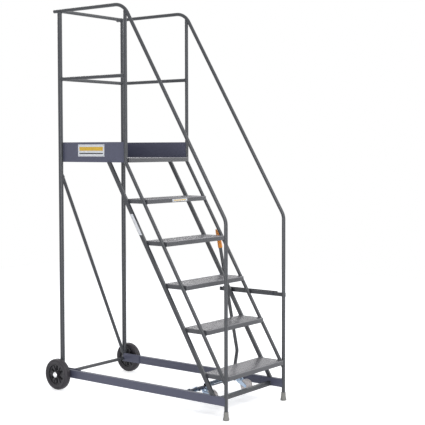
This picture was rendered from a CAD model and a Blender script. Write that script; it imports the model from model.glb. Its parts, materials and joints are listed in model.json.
import json
import math

import bmesh
import bpy
from mathutils import Matrix, Vector


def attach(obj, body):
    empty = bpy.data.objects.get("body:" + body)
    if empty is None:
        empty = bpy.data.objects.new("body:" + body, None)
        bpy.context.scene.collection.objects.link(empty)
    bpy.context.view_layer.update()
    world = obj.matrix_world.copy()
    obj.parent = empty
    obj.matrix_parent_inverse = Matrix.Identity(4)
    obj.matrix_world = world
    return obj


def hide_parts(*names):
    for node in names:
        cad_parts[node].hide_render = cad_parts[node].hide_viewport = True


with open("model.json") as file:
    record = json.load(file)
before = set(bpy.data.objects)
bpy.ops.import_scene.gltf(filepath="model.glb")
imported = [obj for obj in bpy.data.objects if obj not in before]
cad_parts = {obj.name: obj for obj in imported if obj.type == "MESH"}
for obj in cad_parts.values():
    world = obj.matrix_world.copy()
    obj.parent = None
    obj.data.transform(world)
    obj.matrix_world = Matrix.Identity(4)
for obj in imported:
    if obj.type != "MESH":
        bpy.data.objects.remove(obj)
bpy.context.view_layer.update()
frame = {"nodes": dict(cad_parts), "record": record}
record = frame["record"]

MM = 0.001
FRONT_Y = -703.5          # front uprights, mm from the origin
SIDE_X = 297.5            # axes of the side frames, mm


def at(x, y, z):
    """Point in metres from mm across, mm behind the front uprights and mm up."""
    return Vector((x * MM, (y + FRONT_Y) * MM, z * MM))


def linear(hex_text):
    """Linear colour of a hex code."""
    parts = [int(hex_text[i:i + 2], 16) / 255 for i in (1, 3, 5)]
    return [c / 12.92 if c <= 0.04045 else ((c + 0.055) / 1.055) ** 2.4 for c in parts] + [1.0]


# ---------------------------------------------------------------- shader groups

def start_group(name, inputs, outputs):
    """New shader group with its sockets, as (group, input node, output node)."""
    group = bpy.data.node_groups.new(name, "ShaderNodeTree")
    for label, kind, default in inputs:
        made = group.interface.new_socket(name=label, in_out="INPUT", socket_type=kind)
        if default is not None:
            made.default_value = default
    for label, kind in outputs:
        group.interface.new_socket(name=label, in_out="OUTPUT", socket_type=kind)
    return group, group.nodes.new("NodeGroupInput"), group.nodes.new("NodeGroupOutput")


def feed(tree, socket, value):
    """Links an input socket to another socket, or sets it to a plain value."""
    if isinstance(value, bpy.types.NodeSocket):
        tree.links.new(value, socket)
    else:
        socket.default_value = value


def math_node(tree, operation, a, b, clamp=False):
    """Result of a math node on two values or sockets."""
    node = tree.nodes.new("ShaderNodeMath")
    node.operation = operation
    node.use_clamp = clamp
    for socket, value in zip(node.inputs, (a, b)):
        feed(tree, socket, value)
    return node.outputs[0]


def remap(tree, value, low, high, to_low=0.0, to_high=1.0):
    """Value moved from one range to another, held at its ends."""
    node = tree.nodes.new("ShaderNodeMapRange")
    tree.links.new(value, node.inputs["Value"])
    for label, number in (("From Min", low), ("From Max", high), ("To Min", to_low), ("To Max", to_high)):
        node.inputs[label].default_value = number
    return node.outputs["Result"]


def blend(tree, factor, a, b, kind="MIX"):
    """Colour mix node's result."""
    node = tree.nodes.new("ShaderNodeMix")
    node.data_type = "RGBA"
    node.blend_type = kind
    for socket, value in ((node.inputs[0], factor), (node.inputs[6], a), (node.inputs[7], b)):
        feed(tree, socket, value)
    return node.outputs[2]


def noise(tree, vector, scale, detail=3.0, rough=0.55):
    """Noise value at a vector."""
    node = tree.nodes.new("ShaderNodeTexNoise")
    tree.links.new(vector, node.inputs["Vector"])
    feed(tree, node.inputs["Scale"], scale)
    node.inputs["Detail"].default_value = detail
    node.inputs["Roughness"].default_value = rough
    return node.outputs["Fac"]


def make_surface_grain():
    """Fine skin of a coating or moulding, with a slow drift of tone over the piece."""
    group, given, out = start_group(
        "surface_grain",
        [("Vector", "NodeSocketVector", None), ("Color", "NodeSocketColor", (0.5, 0.5, 0.5, 1)),
         ("Grain Scale", "NodeSocketFloat", 900.0), ("Drift", "NodeSocketFloat", 0.06),
         ("Roughness", "NodeSocketFloat", 0.4), ("Roughness Spread", "NodeSocketFloat", 0.08)],
        [("Color", "NodeSocketColor"), ("Roughness", "NodeSocketFloat"), ("Height", "NodeSocketFloat")])
    vector = given.outputs["Vector"]
    grain = noise(group, vector, given.outputs["Grain Scale"], 2.0)
    cloud = noise(group, vector, 5.0, 4.0)
    tone = math_node(group, "MULTIPLY", math_node(group, "SUBTRACT", cloud, 0.5), given.outputs["Drift"])
    tone = math_node(group, "ADD", math_node(group, "MULTIPLY", tone, 2.0), 1.0)
    shade = group.nodes.new("ShaderNodeCombineColor")
    for channel in range(3):
        group.links.new(tone, shade.inputs[channel])
    colour = blend(group, 1.0, given.outputs["Color"], shade.outputs[0], "MULTIPLY")
    spread = math_node(group, "MULTIPLY", math_node(group, "SUBTRACT", cloud, 0.5),
                       given.outputs["Roughness Spread"])
    rough = math_node(group, "ADD", given.outputs["Roughness"], math_node(group, "MULTIPLY", spread, 2.0))
    group.links.new(colour, out.inputs["Color"])
    group.links.new(rough, out.inputs["Roughness"])
    group.links.new(grain, out.inputs["Height"])
    return group


def make_settled_dust():
    """Thin dust on faces that look up, broken up by noise."""
    group, given, out = start_group(
        "settled_dust",
        [("Vector", "NodeSocketVector", None), ("Color", "NodeSocketColor", (0.5, 0.5, 0.5, 1)),
         ("Roughness", "NodeSocketFloat", 0.4), ("Dust Color", "NodeSocketColor", linear("#a8a49c")),
         ("Amount", "NodeSocketFloat", 0.2)],
        [("Color", "NodeSocketColor"), ("Roughness", "NodeSocketFloat")])
    facing = group.nodes.new("ShaderNodeNewGeometry")
    split = group.nodes.new("ShaderNodeSeparateXYZ")
    group.links.new(facing.outputs["Normal"], split.inputs[0])
    up = remap(group, split.outputs["Z"], 0.3, 0.95)
    patches = remap(group, noise(group, given.outputs["Vector"], 28.0, 5.0), 0.35, 0.75)
    lying = math_node(group, "MULTIPLY", up, patches)
    mask = math_node(group, "MULTIPLY", lying, given.outputs["Amount"], True)
    dusty = blend(group, mask, given.outputs["Color"], given.outputs["Dust Color"])
    group.links.new(dusty, out.inputs["Color"])
    duller = math_node(group, "MULTIPLY", mask, 0.5)
    group.links.new(math_node(group, "ADD", given.outputs["Roughness"], duller, True), out.inputs["Roughness"])
    return group


def make_rub_marks():
    """Long thin rub marks, as a mask that is 1 where the surface is scuffed."""
    group, given, out = start_group(
        "rub_marks",
        [("Vector", "NodeSocketVector", None), ("Stretch", "NodeSocketVector", (1, 1, 1)),
         ("Density", "NodeSocketFloat", 0.35)],
        [("Mask", "NodeSocketFloat")])
    stretched = group.nodes.new("ShaderNodeVectorMath")
    stretched.operation = "MULTIPLY"
    group.links.new(given.outputs["Vector"], stretched.inputs[0])
    group.links.new(given.outputs["Stretch"], stretched.inputs[1])
    streaks = remap(group, noise(group, stretched.outputs[0], 60.0, 6.0, 0.7), 0.6, 0.74)
    areas = remap(group, noise(group, given.outputs["Vector"], 7.0, 2.0), 0.42, 0.7)
    marks = math_node(group, "MULTIPLY", streaks, areas)
    mask = math_node(group, "MULTIPLY", marks, given.outputs["Density"], True)
    group.links.new(mask, out.inputs["Mask"])
    return group


GRAIN = make_surface_grain()
DUST = make_settled_dust()
RUB = make_rub_marks()


BUMP_DISTANCE = 0.0004    # height of the grain, metres
RUB_DULLING = 0.15        # roughness that a rub mark adds
COAT_ROUGH = 0.1


def group_node(tree, group, vector, **values):
    """Node of a shared group, with inputs by name, spaces written as _."""
    node = tree.nodes.new("ShaderNodeGroup")
    node.node_tree = group
    tree.links.new(vector, node.inputs["Vector"])
    for label, value in values.items():
        feed(tree, node.inputs[label.replace("_", " ")], value)
    return node


def finish(name, colour, rough, grain=900.0, grain_depth=0.02, drift=0.06, spread=0.08, dust=0.0, rub=0.0,
           rub_colour="#8a8f98", rub_stretch=(1, 1, 1), metallic=0.0, coat=0.0, specular=0.5):
    """Material with the shared grain, rub marks and dust laid over one colour."""
    material = bpy.data.materials.new(name)
    material.use_nodes = True
    tree = material.node_tree
    vector = tree.nodes.new("ShaderNodeTexCoord").outputs["Object"]
    grained = group_node(tree, GRAIN, vector, Color=linear(colour), Grain_Scale=grain, Drift=drift,
                         Roughness=rough, Roughness_Spread=spread)
    colour_out, rough_out = grained.outputs["Color"], grained.outputs["Roughness"]
    if rub:
        mask = group_node(tree, RUB, vector, Stretch=rub_stretch, Density=rub).outputs["Mask"]
        colour_out = blend(tree, mask, colour_out, linear(rub_colour))
        duller = math_node(tree, "MULTIPLY", mask, RUB_DULLING)
        rough_out = math_node(tree, "ADD", rough_out, duller, True)
    if dust:
        dusted = group_node(tree, DUST, vector, Color=colour_out, Roughness=rough_out, Amount=dust)
        colour_out, rough_out = dusted.outputs["Color"], dusted.outputs["Roughness"]
    bump = tree.nodes.new("ShaderNodeBump")
    for label, value in (("Distance", BUMP_DISTANCE), ("Strength", grain_depth),
                         ("Height", grained.outputs["Height"])):
        feed(tree, bump.inputs[label], value)
    shader = tree.nodes["Principled BSDF"]
    for label, value in (("Base Color", colour_out), ("Roughness", rough_out), ("Normal", bump.outputs[0]),
                         ("Metallic", metallic), ("Coat Weight", coat), ("Coat Roughness", COAT_ROUGH),
                         ("Specular IOR Level", specular)):
        feed(tree, shader.inputs[label], value)
    return material


powder_coat = finish("powder_coat", "#3d3f43", 0.3, grain=1100.0, grain_depth=0.08, drift=0.05, dust=0.05,
                     rub=0.06, rub_colour="#74777c")
sheet_coat = finish("sheet_coat", "#515365", 0.4, grain=1100.0, grain_depth=0.08, drift=0.05, dust=0.05,
                    rub=0.06, rub_colour="#787b8a")
tread_coat = finish("tread_coat", "#939296", 0.22, grain=700.0, grain_depth=0.01, drift=0.07, spread=0.04,
                    rub=0.4, rub_colour="#d2d3d5", rub_stretch=(0.35, 1.6, 1), metallic=0.5)
tread_hollow = finish("tread_hollow", "#1d1e20", 0.7, grain=700.0, drift=0.1, specular=0.2)
lip_coat = finish("lip_coat", "#48494d", 0.34, grain=900.0, grain_depth=0.08, dust=0.05, rub=0.3,
                  rub_colour="#9b9da0", rub_stretch=(0.2, 1, 1))
weld_metal = finish("weld_metal", "#45474c", 0.42, grain=1400.0, grain_depth=0.4, drift=0.12)
ferrule_rubber = finish("ferrule_rubber", "#8b8a86", 0.68, grain=1500.0, grain_depth=0.3, drift=0.1, rub=0.4,
                        rub_colour="#77756f", specular=0.35)
black_rubber = finish("black_rubber", "#27272a", 0.6, grain=1500.0, grain_depth=0.3, drift=0.08)
plate_white = finish("plate_white", "#d9dbde", 0.3, grain=500.0, grain_depth=0.05, drift=0.02, spread=0.03)
plate_yellow = finish("plate_yellow", "#d9b13a", 0.35, grain=500.0, grain_depth=0.05, drift=0.03, spread=0.03)
tyre_rubber = finish("tyre_rubber", "#343136", 0.42, grain=1300.0, grain_depth=0.35, drift=0.14, dust=0.12,
                     rub=0.35, rub_colour="#5c5955", specular=0.4)
hub_black = finish("hub_black", "#2e2c31", 0.34, grain=1000.0, grain_depth=0.15, drift=0.1, dust=0.15, rub=0.2,
                   rub_colour="#6b6a6e")
bush_nylon = finish("bush_nylon", "#c9c6bd", 0.45, grain=600.0, grain_depth=0.1)
cap_chrome = finish("cap_chrome", "#e8e9ec", 0.12, grain=200.0, grain_depth=0.02, drift=0.02, spread=0.04,
                    metallic=1.0)
zinc_plate = finish("zinc_plate", "#a9b9cb", 0.22, grain=400.0, grain_depth=0.12, drift=0.12, spread=0.12,
                    rub=0.25, rub_colour="#d6dbe2", metallic=1.0)
dark_zinc = finish("dark_zinc", "#4b4e57", 0.3, grain=400.0, grain_depth=0.12, drift=0.12, spread=0.12,
                   metallic=0.8)
castor_nylon = finish("castor_nylon", "#f1e9e6", 0.4, grain=700.0, grain_depth=0.1, drift=0.06, rub=0.45,
                      rub_colour="#b5aea8")
grip_orange = finish("grip_orange", "#f0962a", 0.4, grain=1200.0, grain_depth=0.15, drift=0.08, rub=0.25,
                     rub_colour="#b56a18", coat=0.1)

SLOT_FINISH = {
    "frame_paint": powder_coat, "tread_plate": lip_coat, "ferrule_rubber": ferrule_rubber,
    "black_rubber": black_rubber, "plate_aluminium": plate_white, "tyre": tyre_rubber,
    "hub_steel": hub_black, "bush_nylon": bush_nylon, "cap_chrome": cap_chrome,
    "zinc_steel": zinc_plate, "castor_nylon": castor_nylon, "grip_plastic": grip_orange,
}
NODE_FINISH = dict.fromkeys(
    ("carriage_shaft", "castor_bolts", "lever_stops", "guide_spacers", "frame_bolts"), dark_zinc)
slot_of = {part["node"]: part["material_slot"] for part in record["subparts"]}
body_of = {node: body for body, nodes in record["behaviour"]["bodies"].items() for node in nodes}

for node, piece in frame["nodes"].items():
    piece.data.materials.clear()
    piece.data.materials.append(NODE_FINISH.get(node, SLOT_FINISH[slot_of[node]]))

# ---------------------------------------------------------------- mesh helpers

MERGE_DISTANCE = 1e-5     # metres
FLAT_ANGLE = math.radians(1.0)
CORNER_ANGLE = math.radians(40)
ROUNDING_STEPS = 2


def put(name, data):
    """New object in the scene for a mesh, a lamp or a camera."""
    item = bpy.data.objects.new(name, data)
    bpy.context.scene.collection.objects.link(item)
    return item


def aimed(axis):
    """Rotation that turns +Z to an axis."""
    return Vector(axis).to_track_quat("Z", "Y").to_matrix().to_4x4()


def new_piece(name, mesh, body, material=None, replaced=(), smooth=None):
    """Object for a mesh placed in metres, riding a body; smooth is the sharpest rounded angle."""
    if smooth is not None:
        mesh.shade_smooth()
        mesh.set_sharp_from_angle(angle=math.radians(smooth))
    if material:
        mesh.materials.clear()
        mesh.materials.append(material)
    piece = put(name, mesh)
    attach(piece, body)
    if replaced:
        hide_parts(*replaced)
    return piece


def mesh_from(name, points, faces):
    """Mesh of points and faces, its faces turned outwards."""
    mesh = bpy.data.meshes.new(name)
    mesh.from_pydata([tuple(p) for p in points], [], faces)
    built = bmesh.new()
    built.from_mesh(mesh)
    bmesh.ops.recalc_face_normals(built, faces=built.faces)
    built.to_mesh(mesh)
    built.free()
    return mesh


def lathe(name, outline, centre, axis, sides=64):
    """Closed ring turned about an axis: outline is a loop of (radius, height) in mm."""
    place = Matrix.Translation(centre) @ aimed(axis)
    points, faces = [], []
    count = len(outline)
    for i in range(sides):
        angle = 2 * math.pi * i / sides
        for radius, height in outline:
            points.append(place @ (Vector((radius * math.cos(angle), radius * math.sin(angle), height)) * MM))
    for i in range(sides):
        j = (i + 1) % sides
        for k in range(count):
            m = (k + 1) % count
            faces.append((i * count + k, j * count + k, j * count + m, i * count + m))
    return mesh_from(name, points, faces)


def join_meshes(name, meshes):
    """One mesh of several."""
    joined = bmesh.new()
    for mesh in meshes:
        joined.from_mesh(mesh)
    mesh = bpy.data.meshes.new(name)
    joined.to_mesh(mesh)
    joined.free()
    return mesh


def bend_line(corners, radii, steps):
    """Stations (point, direction) along corners in metres, rounded by radii in mm."""
    line = [(corners[0], (corners[1] - corners[0]).normalized())]
    for i, radius in enumerate(radii, 1):
        back = (corners[i - 1] - corners[i]).normalized()
        ahead = (corners[i + 1] - corners[i]).normalized()
        half_angle = back.angle(ahead) / 2
        centre = corners[i] + (back + ahead).normalized() * (radius * MM / math.sin(half_angle))
        out = (corners[i] + back * (radius * MM / math.tan(half_angle)) - centre).normalized()
        for k in range(steps + 1):
            turn = (math.pi - 2 * half_angle) * k / steps
            arm = out * math.cos(turn) - back * math.sin(turn)
            line.append((centre + arm * radius * MM, -back * math.cos(turn) - out * math.sin(turn)))
    line.append((corners[-1], (corners[-1] - corners[-2]).normalized()))
    return line


def swept_tube(name, corners, radii, outer, wall, sides=32, steps=14):
    """Open-ended round tube along a flat bent line, outer radius and wall in mm."""
    line = bend_line(corners, radii, steps)
    across = (corners[1] - corners[0]).cross(corners[2] - corners[1]).normalized()
    rings = len(line)
    points, faces = [], []
    for radius in (outer, outer - wall):
        for place, along in line:
            up = along.cross(across)
            for j in range(sides):
                angle = 2 * math.pi * j / sides
                points.append(place + (across * math.cos(angle) + up * math.sin(angle)) * radius * MM)
    skin = rings * sides
    for i in range(rings - 1):
        for j in range(sides):
            k = (j + 1) % sides
            quad = (i * sides + j, i * sides + k, (i + 1) * sides + k, (i + 1) * sides + j)
            faces.append(quad)
            faces.append(tuple(v + skin for v in reversed(quad)))
    last = skin - sides
    for j in range(sides):
        k = (j + 1) % sides
        faces.append((j + skin, k + skin, k, j))
        faces.append((last + j, last + k, last + k + skin, last + j + skin))
    return mesh_from(name, points, faces)


def box_mesh(name, low_corner, high_corner):
    """Box between two corners in metres."""
    made = bmesh.new()
    bmesh.ops.create_cube(made, size=1.0)
    centre = (Vector(low_corner) + Vector(high_corner)) / 2
    size = Vector(high_corner) - Vector(low_corner)
    for vertex in made.verts:
        vertex.co = Vector(c * s for c, s in zip(vertex.co, size)) + centre
    mesh = bpy.data.meshes.new(name)
    made.to_mesh(mesh)
    made.free()
    return mesh


def softened(node, width, material=None):
    """Copy of a flat-sided node with its triangles merged and its edges rounded."""
    source = frame["nodes"][node]
    made = bmesh.new()
    made.from_mesh(source.data)
    bmesh.ops.remove_doubles(made, verts=made.verts, dist=MERGE_DISTANCE)
    bmesh.ops.dissolve_limit(made, angle_limit=FLAT_ANGLE, verts=made.verts, edges=made.edges)
    mesh = bpy.data.meshes.new(node + "_soft")
    made.to_mesh(mesh)
    made.free()
    slot = slot_of[node]
    piece = new_piece(node + "_soft", mesh, body_of[node], material or SLOT_FINISH[slot], (node,), smooth=30)
    rounding = piece.modifiers.new("rounding", "BEVEL")
    rounding.width = width * MM
    rounding.segments = ROUNDING_STEPS
    rounding.limit_method = "ANGLE"
    rounding.angle_limit = CORNER_ANGLE
    rounding.use_clamp_overlap = True
    rounding.harden_normals = True


# ---------------------------------------------------------------- geometry node trees

def start_tree(name, inputs):
    """New geometry tree with a Geometry input and named inputs, as (tree, given, out)."""
    tree = bpy.data.node_groups.new(name, "GeometryNodeTree")
    tree.interface.new_socket(name="Geometry", in_out="INPUT", socket_type="NodeSocketGeometry")
    for label, kind, default in inputs:
        made = tree.interface.new_socket(name=label, in_out="INPUT", socket_type=kind)
        if default is not None:
            made.default_value = default
    tree.interface.new_socket(name="Geometry", in_out="OUTPUT", socket_type="NodeSocketGeometry")
    return tree, tree.nodes.new("NodeGroupInput"), tree.nodes.new("NodeGroupOutput")


def geo(tree, kind, settings=None, **links):
    """Geometry node with its settings, and inputs by name, spaces written as _."""
    node = tree.nodes.new(kind)
    for key, value in (settings or {}).items():
        setattr(node, key, value)
    for label, value in links.items():
        socket = next(s for s in node.inputs if s.name == label.replace("_", " ") and s.enabled)
        feed(tree, socket, value)
    return node


def close_tree(tree, out, geometry, material):
    """Ends a tree in Realize Instances and Set Material."""
    real = geo(tree, "GeometryNodeRealizeInstances", Geometry=geometry)
    painted = geo(tree, "GeometryNodeSetMaterial", Geometry=real.outputs[0], Material=material)
    tree.links.new(painted.outputs[0], out.inputs[0])


def grow(tree, name, base, values):
    """Plain mesh that a tree makes from a base mesh or from nothing, its inputs set by their names."""
    seed = put(name + "_seed", base or bpy.data.meshes.new("none"))
    modifier = seed.modifiers.new("grow", "NODES")
    modifier.node_group = tree
    for item in tree.interface.items_tree:
        if item.in_out == "INPUT" and item.name in values:
            modifier[item.identifier] = values[item.name]
    bpy.context.view_layer.update()
    graph = bpy.context.evaluated_depsgraph_get()
    mesh = bpy.data.meshes.new_from_object(seed.evaluated_get(graph), depsgraph=graph)
    bpy.data.objects.remove(seed)
    mesh.name = name
    return mesh


def line_mesh(name, lines):
    """Mesh of edges only, from lists of points; a list that ends where it began is a loop."""
    points, edges = [], []
    for line in lines:
        start = len(points)
        closed = (line[0] - line[-1]).length < 1e-7
        kept = line[:-1] if closed else line
        points += kept
        edges += [(start + i, start + i + 1) for i in range(len(kept) - 1)]
        if closed:
            edges.append((start + len(kept) - 1, start))
    mesh = bpy.data.meshes.new(name)
    mesh.from_pydata([tuple(p) for p in points], edges, [])
    return mesh


def make_bead_tree():
    """Overlapping drops along lines: a weld bead."""
    tree, given, out = start_tree("weld_bead", [
        ("Bead Radius", "NodeSocketFloat", 0.0026), ("Spacing", "NodeSocketFloat", 0.0024),
        ("Unevenness", "NodeSocketFloat", 0.18), ("Seed", "NodeSocketInt", 7),
        ("Finish", "NodeSocketMaterial", None)])
    curve = geo(tree, "GeometryNodeMeshToCurve", Mesh=given.outputs["Geometry"])
    spaced = geo(tree, "GeometryNodeResampleCurve", {"mode": "LENGTH"}, Curve=curve.outputs[0],
                 Length=given.outputs["Spacing"])
    drop = geo(tree, "GeometryNodeMeshIcoSphere", Radius=given.outputs["Bead Radius"], Subdivisions=2)
    smallest = math_node(tree, "SUBTRACT", 1.0, given.outputs["Unevenness"])
    size = geo(tree, "FunctionNodeRandomValue", {"data_type": "FLOAT"}, Min=smallest, Max=1.0,
               Seed=given.outputs["Seed"])
    full_turn = 6.28
    turn = geo(tree, "FunctionNodeRandomValue", {"data_type": "FLOAT_VECTOR"}, Min=(0, 0, 0),
               Max=(full_turn, full_turn, full_turn), Seed=given.outputs["Seed"])
    placed = geo(tree, "GeometryNodeInstanceOnPoints", Points=spaced.outputs[0], Instance=drop.outputs[0],
                 Scale=next(o for o in size.outputs if o.enabled),
                 Rotation=next(o for o in turn.outputs if o.enabled))
    close_tree(tree, out, placed.outputs[0], given.outputs["Finish"])
    return tree


def make_roll_tree():
    """Thin round edge along lines."""
    tree, given, out = start_tree("rolled_edge", [
        ("Radius", "NodeSocketFloat", 0.0015), ("Finish", "NodeSocketMaterial", None)])
    curve = geo(tree, "GeometryNodeMeshToCurve", Mesh=given.outputs["Geometry"])
    ring = geo(tree, "GeometryNodeCurvePrimitiveCircle", Resolution=8, Radius=given.outputs["Radius"])
    swept = geo(tree, "GeometryNodeCurveToMesh", Curve=curve.outputs[0], Profile_Curve=ring.outputs[0],
                Fill_Caps=True)
    close_tree(tree, out, swept.outputs[0], given.outputs["Finish"])
    return tree


ROW_SPACING = 0.866       # of the pitch, for holes in triangles


def make_punch_tree():
    """Staggered field of punched holes with raised rims, repeated up a flight of steps."""
    tree, given, out = start_tree("punched_field", [
        ("Width", "NodeSocketFloat", 0.5), ("Depth", "NodeSocketFloat", 0.15),
        ("Pitch", "NodeSocketFloat", 0.016), ("Steps", "NodeSocketInt", 1), ("Rise", "NodeSocketFloat", 0.25),
        ("Going", "NodeSocketFloat", 0.15), ("Rim", "NodeSocketObject", None),
        ("Finish", "NodeSocketMaterial", None)])

    def calc(operation, a, b):
        """Result of a math node of this tree."""
        return math_node(tree, operation, a, b)

    pitch = given.outputs["Pitch"]
    row = calc("MULTIPLY", pitch, ROW_SPACING)
    columns = calc("FLOOR", calc("DIVIDE", calc("SUBTRACT", given.outputs["Width"], pitch), pitch), 0.0)
    rows = calc("FLOOR", calc("DIVIDE", given.outputs["Depth"], row), 0.0)
    grid = geo(tree, "GeometryNodeMeshGrid", Size_X=calc("MULTIPLY", columns, pitch),
               Size_Y=calc("MULTIPLY", rows, row), Vertices_X=calc("ADD", columns, 1.0),
               Vertices_Y=calc("ADD", rows, 1.0))
    index = tree.nodes.new("GeometryNodeInputIndex").outputs[0]
    parity = calc("MODULO", calc("MODULO", index, calc("ADD", rows, 1.0)), 2.0)
    shift = calc("MULTIPLY", calc("SUBTRACT", parity, 0.5), calc("MULTIPLY", pitch, 0.5))
    offset = geo(tree, "ShaderNodeCombineXYZ", X=shift)
    shifted = geo(tree, "GeometryNodeSetPosition", Geometry=grid.outputs[0], Offset=offset.outputs[0])
    rim = geo(tree, "GeometryNodeObjectInfo", Object=given.outputs["Rim"])
    holes = geo(tree, "GeometryNodeInstanceOnPoints", Points=shifted.outputs[0], Instance=rim.outputs["Geometry"])
    one = geo(tree, "GeometryNodeRealizeInstances", Geometry=holes.outputs[0])
    climb = geo(tree, "ShaderNodeCombineXYZ", X=0.0, Y=given.outputs["Going"], Z=given.outputs["Rise"])
    flight = geo(tree, "GeometryNodeMeshLine", Count=given.outputs["Steps"], Offset=climb.outputs[0])
    repeated = geo(tree, "GeometryNodeInstanceOnPoints", Points=flight.outputs[0], Instance=one.outputs[0])
    close_tree(tree, out, repeated.outputs[0], given.outputs["Finish"])
    return tree


def make_stack_tree():
    """Rings spaced along +Z."""
    tree, given, out = start_tree("ring_stack", [
        ("Count", "NodeSocketInt", 8), ("Spacing", "NodeSocketFloat", 0.01),
        ("Radius", "NodeSocketFloat", 0.014),
        ("Thickness", "NodeSocketFloat", 0.001), ("Finish", "NodeSocketMaterial", None)])
    path = geo(tree, "GeometryNodeCurvePrimitiveCircle", Resolution=40, Radius=given.outputs["Radius"])
    ring = geo(tree, "GeometryNodeCurvePrimitiveCircle", Resolution=8, Radius=given.outputs["Thickness"])
    torus = geo(tree, "GeometryNodeCurveToMesh", Curve=path.outputs[0], Profile_Curve=ring.outputs[0])
    step = geo(tree, "ShaderNodeCombineXYZ", X=0.0, Y=0.0, Z=given.outputs["Spacing"])
    line = geo(tree, "GeometryNodeMeshLine", Count=given.outputs["Count"], Offset=step.outputs[0])
    placed = geo(tree, "GeometryNodeInstanceOnPoints", Points=line.outputs[0], Instance=torus.outputs[0])
    close_tree(tree, out, placed.outputs[0], given.outputs["Finish"])
    return tree


def make_spoke_tree():
    """Flat ribs standing round the Z axis."""
    tree, given, out = start_tree("spoke_ribs", [
        ("Count", "NodeSocketInt", 6), ("Middle Radius", "NodeSocketFloat", 0.04),
        ("Size", "NodeSocketVector", (0.04, 0.004, 0.03)),
        ("Turn", "NodeSocketFloat", 0.0), ("Finish", "NodeSocketMaterial", None)])
    circle = geo(tree, "GeometryNodeMeshCircle", Vertices=given.outputs["Count"],
                 Radius=given.outputs["Middle Radius"])
    rib = geo(tree, "GeometryNodeMeshCube", Size=given.outputs["Size"])
    place = tree.nodes.new("GeometryNodeInputPosition").outputs[0]
    aim = geo(tree, "FunctionNodeAlignRotationToVector", {"axis": "X"}, Vector=place)
    placed = geo(tree, "GeometryNodeInstanceOnPoints", Points=circle.outputs[0], Instance=rib.outputs[0],
                 Rotation=aim.outputs[0])
    spin = geo(tree, "ShaderNodeCombineXYZ", X=0.0, Y=0.0, Z=given.outputs["Turn"])
    turned = geo(tree, "GeometryNodeTransform", Geometry=placed.outputs[0], Rotation=spin.outputs[0])
    close_tree(tree, out, turned.outputs[0], given.outputs["Finish"])
    return tree


def make_rivet_tree():
    """Domed heads on points, each facing along the point's own normal."""
    tree, given, out = start_tree("domed_heads", [
        ("Head Radius", "NodeSocketFloat", 0.0025), ("Flatness", "NodeSocketFloat", 0.5),
        ("Finish", "NodeSocketMaterial", None)])
    head = geo(tree, "GeometryNodeMeshUVSphere", Segments=12, Rings=8, Radius=given.outputs["Head Radius"])
    squash = geo(tree, "ShaderNodeCombineXYZ", X=1.0, Y=1.0, Z=given.outputs["Flatness"])
    flat = geo(tree, "GeometryNodeTransform", Geometry=head.outputs[0], Scale=squash.outputs[0])
    facing = geo(tree, "GeometryNodeInputNamedAttribute", {"data_type": "FLOAT_VECTOR"}, Name="facing")
    aim = geo(tree, "FunctionNodeAlignRotationToVector", {"axis": "Z"}, Vector=facing.outputs[0])
    placed = geo(tree, "GeometryNodeInstanceOnPoints", Points=given.outputs["Geometry"],
                 Instance=flat.outputs[0], Rotation=aim.outputs[0])
    close_tree(tree, out, placed.outputs[0], given.outputs["Finish"])
    return tree


# ---------------------------------------------------------------- sizes of the stand, mm

TUBE_R, TUBE_WALL, POST_R = 11.0, 2.0, 15.0
RISE, GOING, TREADS = 250.0, 150.0, 5
NOSE, TREAD_DEPTH, EDGE = 10.0, 185.0, 26.0
BASE_L, BASE_TOP, BASE_LOW, BASE_IN = 1326.0, 132.0, 82.0, 285.0
RAIL_Z, MID_Z, DECK_Z = 2440.0, 2006.0, 1500.0
KNEE_Y, FOOT_RAIL_Z, TAIL = 776.0, 1146.667, 44.0
INNER_X = SIDE_X - TUBE_R
SLOPE = GOING / RISE
DECK_FRONT, POST_Y = 740.0, 762.0
AXLE_Z, WHEEL_X = 100.0, 341.5
LEVER_X, LEVER_TOP = 329.5, 1032.0
LEAN = math.radians(11.5)
SHAFT_Y, SHAFT_Z = 345.0, 102.0
KNEE = (378.0, 262.0)
FRONT_STRINGER_Y, STRINGER_SPACING = 27.0, 142.0
LEVER_ROOT_X, BOSS_LENGTH = 241.5, 16


def front_run(z):
    """Where the front stringer's axis is at a height."""
    return SLOPE * (z - RISE) + FRONT_STRINGER_Y


def rear_run(z):
    """Where the rear stringer's axis is at a height."""
    return front_run(z) + STRINGER_SPACING


# ---------------------------------------------------------------- bent tubes

RAIL_BENDS, LEVER_BENDS = (120, 90), (60,)

for side, word in ((-1, "left"), (1, "right")):
    x = side * SIDE_X
    corners = [at(x, BASE_L + TAIL, RAIL_Z), at(x, KNEE_Y, RAIL_Z), at(x, 0, FOOT_RAIL_Z), at(x, 0, 8)]
    new_piece(f"handrail_{word}_tube", swept_tube("rail", corners, RAIL_BENDS, TUBE_R, TUBE_WALL),
              "frame", powder_coat, (f"handrail_{word}",), smooth=40)

lever_root = Vector((LEVER_ROOT_X, SHAFT_Y, SHAFT_Z))
lever_knee = Vector((LEVER_X, KNEE[0], KNEE[1]))
boss_up = (lever_knee - lever_root).normalized()
lever_foot = lever_root + boss_up * BOSS_LENGTH
lever_end = Vector((LEVER_X, KNEE[0] + (LEVER_TOP - KNEE[1]) * math.tan(LEAN), LEVER_TOP))
new_piece("lever_bent_tube",
          swept_tube("lever", [at(*lever_foot), at(*lever_knee), at(*lever_end)], LEVER_BENDS, TUBE_R, TUBE_WALL),
          "lever_carriage", powder_coat, ("lever_tube",), smooth=40)

# ---------------------------------------------------------------- sheet and box sections

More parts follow.
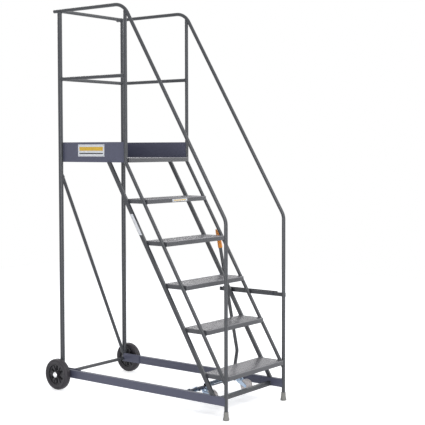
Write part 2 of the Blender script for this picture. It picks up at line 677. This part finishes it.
for node in ("base_rail_left", "base_rail_right"):
    softened(node, 1.6, sheet_coat)
for node in ("front_cross_rail", "rear_stringer_left", "rear_stringer_right", "carriage_tie_bar"):
    softened(node, 1.6)
for node in ("toe_board_left", "toe_board_right", "toe_board_rear", "axle_gussets"):
    softened(node, 0.7, sheet_coat)
for node in ("shaft_bearings", "lever_guide_inner", "lever_guide_outer", "castor_mounts"):
    softened(node, 0.7)
for node in ("platform_deck", "tread_1", "tread_2", "tread_3", "tread_4", "tread_5"):
    softened(node, 1.0)

# ---------------------------------------------------------------- treads

BEAD, ROLL, PUNCH, STACK, SPOKE, RIVET = (
    make_bead_tree(), make_roll_tree(), make_punch_tree(), make_stack_tree(), make_spoke_tree(), make_rivet_tree())

RIM_R, RIM_H, SHEET_UP = 6.0, 0.5, 0.5
rim_outline = [(RIM_R, 0), (RIM_R * 0.86, RIM_H), (RIM_R * 0.74, RIM_H * 0.9), (RIM_R * 0.68, 0)]
rim = put("rim", lathe("rim", rim_outline, (0, 0, 0), (0, 0, 1), 7))
well_outline = [(RIM_R * 0.7, 0), (RIM_R * 0.7, 0.3), (0.3, 0.3), (0.3, 0)]
well = put("well", lathe("well", well_outline, (0, 0, 0), (0, 0, 1), 7))

BORDER, PITCH, CUT = 13.0, 16.5, 8.0


def top_sheet(name, front, depth, height):
    """Thin raised sheet inside the edges of a tread, its front corners cut."""
    w, back = INNER_X - BORDER, front + depth
    outline = [(-w, front + CUT), (-w + CUT, front), (w - CUT, front), (w, front + CUT), (w, back), (-w, back)]
    points = [at(x, y, z) for z in (height, height + SHEET_UP) for x, y in outline]
    count = len(outline)
    faces = [tuple(reversed(range(count))), tuple(range(count, 2 * count))]
    faces += [(i, (i + 1) % count, (i + 1) % count + count, i + count) for i in range(count)]
    return mesh_from(name, points, faces)


tread_sheets = [top_sheet("sheet", GOING * n - NOSE + BORDER, TREAD_DEPTH - 2 * BORDER, RISE * (n + 1))
                for n in range(TREADS)]
new_piece("tread_top_sheets", join_meshes("tread_sheets", tread_sheets), "frame", tread_coat)
DECK_DEPTH = 576.0
deck_sheet = top_sheet("deck_sheet", DECK_FRONT + BORDER, DECK_DEPTH - 2.6 * BORDER, DECK_Z)
new_piece("platform_top_sheet", deck_sheet, "frame", tread_coat)

for label, front, depth, height, steps in (("tread", -NOSE, TREAD_DEPTH, RISE, TREADS),
                                           ("platform", DECK_FRONT, DECK_DEPTH - 8, DECK_Z, 1)):
    centre = at(0, front + depth / 2, height + SHEET_UP)
    for part, shape, coat in (("rims", rim, tread_coat), ("wells", well, tread_hollow)):
        field = grow(PUNCH, f"{label}_{part}", None, {
            "Width": (2 * INNER_X - 2 * BORDER - 12) * MM, "Depth": (depth - 2 * BORDER - 10) * MM,
            "Pitch": PITCH * MM, "Steps": steps, "Rise": RISE * MM, "Going": GOING * MM, "Rim": shape,
            "Finish": coat})
        field.transform(Matrix.Translation(centre))
        new_piece(f"{label}_{part}", field, "frame")
for shape in (rim, well):
    bpy.data.objects.remove(shape)


def edge_line(front, depth, height):
    """Line round the front and sides of a tread, its front corners rounded."""
    w, back = INNER_X - 1.0, front + depth
    corner = ((w, front + 9.0), (w - 2.6, front + 3.4), (w - 9.0, front + 1.0))
    left = [(-w, back)] + [(-x, y) for x, y in corner]
    right = [*reversed(corner), (w, back)]
    return [at(x, y, height) for x, y in left + right]


rolls = [edge_line(GOING * n - NOSE, TREAD_DEPTH - 1, RISE * (n + 1) + 0.2) for n in range(TREADS)]
rolls.append(edge_line(DECK_FRONT, 14, DECK_Z + 0.2))
roll_mesh = grow(ROLL, "tread_rolls", line_mesh("rolls", rolls), {"Radius": 1.5 * MM, "Finish": tread_coat})
new_piece("tread_edge_rolls", roll_mesh, "frame", smooth=50)

# ---------------------------------------------------------------- welds

ACROSS, ALONG, UP = (1, 0, 0), (0, 1, 0), (0, 0, 1)
STRINGER_WAY = (0, 0.5145, 0.8575)
POST_TOP_Z, POST_TOP_WAY = 2389, (0, 0.82, -0.57)
PROUD = 0.5               # weld lines stand this far off a face
HALF_RUNS = ((front_run, 11.0), (rear_run, 13.0))
STRINGER_HALF = 15.0
CROSS_RAIL_EDGE = ((87.5, 82.5), (87.5, 107), (112.5, 107), (112.5, 82.5))
RAIL_SIDE = 10.5
GUSSET_X, GUSSET_WELDS, GUSSET_RUN = 284.5, (1182.0, 1232.0, 1282.0), 26
TOE_WELDS, TOE_RUN = (1478.0, 1540.0, 1578.0), 18
BEARING_X, BEARING_WELDS, BEARING_RUN = 284.6, (321.0, 369.0), (82, 122)
BRACE_TOP, BRACE_FOOT, BRACE_SLOPE = 1410.0, 114.0, 2.178
GUIDE_X, GUIDE_ENDS, GUIDE_RUN = 309.0, (2.0, 486.0), (644, 666)


def circle_line(centre, axis, radius, count=20):
    """Closed ring of points round an axis, radius in mm."""
    turn = Vector(axis).to_track_quat("Z", "Y").to_matrix()
    loop = [centre + turn @ Vector((math.cos(a), math.sin(a), 0)) * radius * MM
            for a in (2 * math.pi * i / count for i in range(count))]
    return loop + [loop[0]]


def upright(x, y, low, high):
    """Vertical line between two heights."""
    return [at(x, y, low), at(x, y, high)]


def joint_welds(side):
    """Weld lines of one side frame, each a list of points."""
    x = side * SIDE_X
    post_face, tread_face = x - side * (POST_R - 1), side * (INNER_X + PROUD)
    bead = TUBE_R + 0.3
    rings = [((x, BASE_L - POST_R, MID_Z), ALONG, bead), ((x, POST_Y + TUBE_R, MID_Z), ALONG, bead),
             ((post_face, BASE_L, MID_Z), ACROSS, bead), ((post_face, BASE_L, RAIL_Z - PROUD), ACROSS, bead),
             ((post_face, BASE_L, AXLE_Z), ACROSS, bead), ((x, BASE_L, RAIL_Z - TUBE_R - 1), UP, POST_R),
             ((x, POST_Y, POST_TOP_Z), POST_TOP_WAY, TUBE_R + 0.6), ((x, 10, 223), STRINGER_WAY, TUBE_R + 0.4)]
    lines = [circle_line(at(*place), axis, radius) for place, axis, radius in rings]
    for n in range(TREADS):
        top = RISE * (n + 1)
        for run, half in HALF_RUNS:
            for z in (top + PROUD, top - EDGE - PROUD):
                y = run(z)
                if -NOSE + GOING * n + 4 < y - half:
                    lines.append([at(tread_face, max(y - half, 14), z), at(tread_face, y + half, z)])
    inside, outside = side * INNER_X, side * (INNER_X + STRINGER_HALF)
    near, far = rear_run(BASE_TOP) - STRINGER_HALF, rear_run(BASE_TOP) + STRINGER_HALF
    lines.append([at(cx, cy, BASE_TOP) for cx, cy in
                  ((inside, near), (outside, near), (outside, far), (inside, far), (inside, near))])
    lines.append([at(side * BASE_IN, y, z) for y, z in CROSS_RAIL_EDGE])
    for dx in (-RAIL_SIDE, RAIL_SIDE):
        lines.append(upright(x + dx, 4.5, BASE_LOW, BASE_TOP))
        lines.append(upright(x + dx, BASE_L - 11, BASE_LOW, BASE_TOP))
    lines.append([at(x + dx, y, BASE_TOP) for dx, y in ((-10, 5), (-3, 11), (3, 11), (10, 5))])
    for start in GUSSET_WELDS:
        lines.append([at(side * GUSSET_X, y, BASE_TOP + PROUD) for y in (start, start + GUSSET_RUN)])
    for z in TOE_WELDS:
        lines.append(upright(side * (INNER_X + 1.5), BASE_L - 11.5, z, z + TOE_RUN))
        lines.append(upright(side * (INNER_X + 1.2), POST_Y + 4, z, z + TOE_RUN))
    for y in BEARING_WELDS:
        lines.append(upright(side * BEARING_X, y, *BEARING_RUN))
    return lines


frame_welds = joint_welds(-1) + joint_welds(1)
brace_way = Vector((2 * SIDE_X, 0, BRACE_FOOT - BRACE_TOP)).normalized()
for x, z, radius in ((-SIDE_X + 14.5, BRACE_TOP - 14.5 * BRACE_SLOPE, TUBE_R + 1.0),
                     (SIDE_X - 18.0, BRACE_FOOT + 18.0 * BRACE_SLOPE, TUBE_R + 0.4)):
    frame_welds.append(circle_line(at(x, BASE_L, z), brace_way, radius))
for y in GUIDE_ENDS:
    frame_welds.append(upright(GUIDE_X, y, *GUIDE_RUN))
frame_beads = grow(BEAD, "frame_beads", line_mesh("welds", frame_welds),
                   {"Bead Radius": 2.5 * MM, "Spacing": 2.6 * MM, "Seed": 11, "Finish": weld_metal})
new_piece("frame_weld_beads", frame_beads, "frame", smooth=60)

MOUNT_XS, SHAFT_BEAD_R = (141.5, 209.5), 10.6
carriage_welds = [circle_line(at(*(lever_root + boss_up * 16.5)), boss_up, TUBE_R + 0.6)]
for x in MOUNT_XS:
    for side in (-1, 1):
        carriage_welds.append(circle_line(at(side * x, SHAFT_Y, SHAFT_Z), ACROSS, SHAFT_BEAD_R))
carriage_beads = grow(BEAD, "carriage_beads", line_mesh("welds", carriage_welds),
                      {"Bead Radius": 2.2 * MM, "Spacing": 2.4 * MM, "Seed": 23, "Finish": weld_metal})
new_piece("carriage_weld_beads", carriage_beads, "lever_carriage", smooth=60)

# ---------------------------------------------------------------- wheels

half_tyre = [(75.2, 19.5), (78.5, 21.6), (81.5, 22.3), (83.0, 22.3), (83.6, 21.0), (85.2, 21.0), (85.8, 22.2),
             (88.5, 22.0), (89.2, 20.9), (90.6, 20.6), (91.4, 21.4), (94.0, 19.9), (96.6, 17.4), (98.5, 14.2),
             (99.5, 11.2), (99.7, 9.2), (98.5, 8.6), (98.5, 7.4), (99.9, 6.8), (100.0, 1.2), (98.9, 0.6)]
tyre_outline = [(r, -h) for r, h in half_tyre] + [(r, h) for r, h in reversed(half_tyre)]
RING = ((57.0, 4.8), (57.6, 9.0), (59.0, 9.8), (62.0, 9.8), (63.4, 9.0), (64.0, 4.8))
LIP = ((68.0, 17.0), (68.6, 18.6), (72.4, 18.6), (73.6, 17.0))
WINDOWS = 6


def both_faces(name, outline, centre, steps):
    """The same ring on both faces of a wheel."""
    return [lathe(name, [(r, way * h) for r, h in outline], centre, ACROSS, steps) for way in (-1, 1)]


ON_AXLE = Matrix.Rotation(math.radians(90), 4, "Y")


def window_liner(centre, angle, way):
    """Thin dark lining on the floor of one hub window."""
    lining = box_mesh("liner", (25.6 * MM, -8.6 * MM, way * 1.2 * MM), (59.4 * MM, 8.6 * MM, way * 1.9 * MM))
    lining.transform(Matrix.Translation(centre) @ ON_AXLE @ Matrix.Rotation(angle, 4, "Z"))
    if way < 0:
        lining.flip_normals()
    return lining


for side, word in ((-1, "left"), (1, "right")):
    centre = at(side * WHEEL_X, BASE_L, AXLE_Z)
    body = f"wheel_{word}"
    new_piece(f"{body}_grooved_tyre", lathe("tyre", tyre_outline, centre, (1, 0, 0), 96), body, tyre_rubber,
              (f"{body}_tyre",), smooth=38)
    rings = both_faces("ring", RING, centre, 72) + both_faces("lip", LIP, centre, 72)
    new_piece(f"{body}_hub_rings", join_meshes("rings", rings), body, hub_black, smooth=40)
    liners = [window_liner(centre, 2 * math.pi * k / WINDOWS, way) for k in range(WINDOWS) for way in (-1, 1)]
    new_piece(f"{body}_window_floors", join_meshes("liners", liners), body, tread_hollow)
    ribs = grow(SPOKE, "ribs", None, {
        "Count": WINDOWS, "Middle Radius": 43.0 * MM, "Size": (46 * MM, 5 * MM, 27 * MM),
        "Turn": math.radians(30), "Finish": hub_black})
    ribs.transform(Matrix.Translation(centre) @ ON_AXLE)
    new_piece(f"{body}_hub_ribs", ribs, body)

# ---------------------------------------------------------------- feet and grip

foot_outline = [(2, 0), (16.5, 0), (18.4, 0.8), (19, 2.4), (19, 4.6), (18.2, 5.2), (18.2, 6.2), (18.8, 6.8),
                (18.6, 9.6), (17.6, 12.5), (16.0, 18.5), (15.1, 25), (14.6, 31), (15.3, 31.8), (15.3, 33.6),
                (14.4, 34.4), (13.9, 48.2), (13.2, 49.6), (11.9, 50), (11.05, 49.4), (11.05, 8), (2, 8)]
feet = [lathe("foot", foot_outline, at(side * SIDE_X, 0, 0), UP, 48) for side in (-1, 1)]
new_piece("foot_ferrules", join_meshes("feet", feet), "frame", ferrule_rubber, ("rubber_feet",),
          smooth=35)

lever_way = Vector((0, math.sin(LEAN), math.cos(LEAN)))
grip_rings = grow(STACK, "grip_rings", None, {
    "Count": 12, "Spacing": 8.6 * MM, "Radius": 13.9 * MM, "Thickness": 1.1 * MM, "Finish": grip_orange})
grip_start = at(*(lever_end - lever_way * 108))
grip_rings.transform(Matrix.Translation(grip_start) @ aimed(lever_way))
new_piece("grip_ridges", grip_rings, "lever_carriage", smooth=60)

# ---------------------------------------------------------------- castors

SWIVEL = Vector((175.5, 249.42, 128.92))
SWIVEL_WAY = Vector((0, 0.4226, 0.9063))
ROLLER = Vector((175.5, 195.06, 88.06))
RACE_DROP = 15.4
BAND = ((28.0, 11.0), (28.6, 13.4), (30.6, 13.4), (31.2, 11.0))
for side, word in ((-1, "left"), (1, "right")):
    races = grow(STACK, "races", None, {
        "Count": 3, "Spacing": 5.1 * MM, "Radius": 21.8 * MM, "Thickness": 1.5 * MM, "Finish": zinc_plate})
    head_place = at(side * SWIVEL.x, SWIVEL.y, SWIVEL.z) - SWIVEL_WAY * RACE_DROP * MM
    races.transform(Matrix.Translation(head_place) @ aimed(SWIVEL_WAY))
    new_piece(f"castor_{word}_raceway", races, f"castor_{word}", smooth=60)
    roller_centre = at(side * ROLLER.x, ROLLER.y, ROLLER.z)
    bands = both_faces("band", BAND, roller_centre, 48)
    new_piece(f"castor_{word}_rings", join_meshes("bands", bands), f"castor_{word}_roller",
              castor_nylon, smooth=40)

# ---------------------------------------------------------------- plates

TOE_FACE, TOE_RAISED, TOE_ENDS = -289.9, -290.4, (962, 1166)
NOSE_FACE, NOSE_RAISED, NOSE_ENDS = 589.1, 588.6, (-46, 72)


def toe_band(name, low_z, high_z):
    """Raised band on the toe board's plate, between two heights."""
    return box_mesh(name, at(TOE_RAISED, TOE_ENDS[0], low_z), at(TOE_FACE, TOE_ENDS[1], high_z))


nose_band = box_mesh("stripe", at(NOSE_ENDS[0], NOSE_RAISED, 1234.5), at(NOSE_ENDS[1], NOSE_FACE, 1239.5))
stripes = join_meshes("stripes", [toe_band("stripe", 1546, 1570), nose_band])
new_piece("plate_stripes", stripes, "frame", plate_yellow)
new_piece("plate_line", toe_band("line", 1526, 1532), "frame", tread_hollow)
rivets = [(at(-290.2, y, z), (-1, 0, 0)) for y in (957, 1171) for z in (1517, 1579)]
rivets += [(at(x, 588.8, 1237), (0, -1, 0)) for x in (-54, 79)]
rivets += [(at(-302.7, rear_run(z), z), (-1, 0, 0)) for z in (1044, 1151)]
heads = bpy.data.meshes.new("heads")
heads.from_pydata([tuple(p) for p, _ in rivets], [], [])
facing = heads.attributes.new("facing", "FLOAT_VECTOR", "POINT")
for i, (_, way) in enumerate(rivets):
    facing.data[i].vector = way
rivet_heads = grow(RIVET, "rivets", heads, {"Head Radius": 2.4 * MM, "Flatness": 0.5, "Finish": zinc_plate})
new_piece("plate_rivets", rivet_heads, "frame", smooth=60)

# ---------------------------------------------------------------- camera

CAMERA_PLACE = (-4.9705, -4.1811, 1.5649)
HEADING, DIP, ROLL_ANGLE = -52.60, 2.70, -0.12      # degrees

camera_data = bpy.data.cameras.new("camera")
camera_data.sensor_width = 36.0
camera_data.lens = 86.97
camera_data.shift_y = -0.0390
camera_data.clip_end = 100
camera = put("camera", camera_data)
camera.matrix_world = (
    Matrix.Translation(CAMERA_PLACE)
    @ Matrix.Rotation(math.radians(HEADING), 4, "Z")
    @ Matrix.Rotation(math.radians(90 - DIP), 4, "X")
    @ Matrix.Rotation(math.radians(ROLL_ANGLE), 4, "Z")
)
bpy.context.scene.camera = camera

# ---------------------------------------------------------------- stage and light

bpy.context.scene.view_settings.view_transform = "Standard"


def seen_rays(tree):
    """1 for rays from the camera, in reflections and through clear pieces."""
    path = tree.nodes.new("ShaderNodeLightPath")
    total = math_node(tree, "ADD", path.outputs["Is Camera Ray"], path.outputs["Is Glossy Ray"])
    return math_node(tree, "ADD", total, path.outputs["Is Transmission Ray"], True)


SKY_STRENGTH, FLOOR_GLOW = 0.5, 0.55
FLOOR_HALF, FLOOR_Z = 6.0, -0.0005        # metres

world = bpy.data.worlds.new("studio")
bpy.context.scene.world = world
world.use_nodes = True
sky = world.node_tree
backdrop = sky.nodes["Background"]
backdrop.inputs["Color"].default_value = (0.92, 0.94, 1.0, 1)
backdrop.inputs["Strength"].default_value = SKY_STRENGTH
bright = sky.nodes.new("ShaderNodeBackground")
bright.inputs["Color"].default_value = (1, 1, 1, 1)
bright.inputs["Strength"].default_value = 1.0
pick = sky.nodes.new("ShaderNodeMixShader")
sky.links.new(seen_rays(sky), pick.inputs[0])
sky.links.new(backdrop.outputs[0], pick.inputs[1])
sky.links.new(bright.outputs[0], pick.inputs[2])
sky.links.new(pick.outputs[0], sky.nodes["World Output"].inputs["Surface"])

floor_mesh = bpy.data.meshes.new("floor")
floor_mesh.from_pydata([(x * FLOOR_HALF, y * FLOOR_HALF, FLOOR_Z) for x, y in ((-1, -1), (1, -1), (1, 1), (-1, 1))],
                       [], [(0, 1, 2, 3)])
floor = put("floor", floor_mesh)
floor_paint = bpy.data.materials.new("pale_floor")
floor_paint.use_nodes = True
tree = floor_paint.node_tree
floor_shader = tree.nodes["Principled BSDF"]
floor_shader.inputs["Base Color"].default_value = (0.9, 0.9, 0.9, 1)
floor_shader.inputs["Roughness"].default_value = 0.9
floor_shader.inputs["Specular IOR Level"].default_value = 0.1
glow = tree.nodes.new("ShaderNodeEmission")
tree.links.new(math_node(tree, "MULTIPLY", seen_rays(tree), FLOOR_GLOW), glow.inputs["Strength"])
both = tree.nodes.new("ShaderNodeAddShader")
tree.links.new(floor_shader.outputs[0], both.inputs[0])
tree.links.new(glow.outputs[0], both.inputs[1])
tree.links.new(both.outputs[0], tree.nodes["Material Output"].inputs["Surface"])
floor_mesh.materials.append(floor_paint)


def soft_light(name, place, aim, size, power):
    """Square area lamp at a place, aimed at a point."""
    data = bpy.data.lights.new(name, "AREA")
    data.size = size
    data.energy = power
    lamp = put(name, data)
    lamp.location = place
    lamp.rotation_euler = (Vector(aim) - Vector(place)).to_track_quat("-Z", "Y").to_euler()


soft_light("key_light", (-3.2, -4.2, 4.6), (0, 0, 1.1), 2.8, 125)
soft_light("low_light", (-4.2, -3.6, 0.9), (0, -0.4, 0.2), 2.4, 75)
soft_light("fill_light", (3.8, -3.0, 3.2), (0, 0, 1.0), 5.0, 90)
soft_light("back_light", (1.5, 4.6, 4.0), (0, 0, 1.2), 2.4, 90)
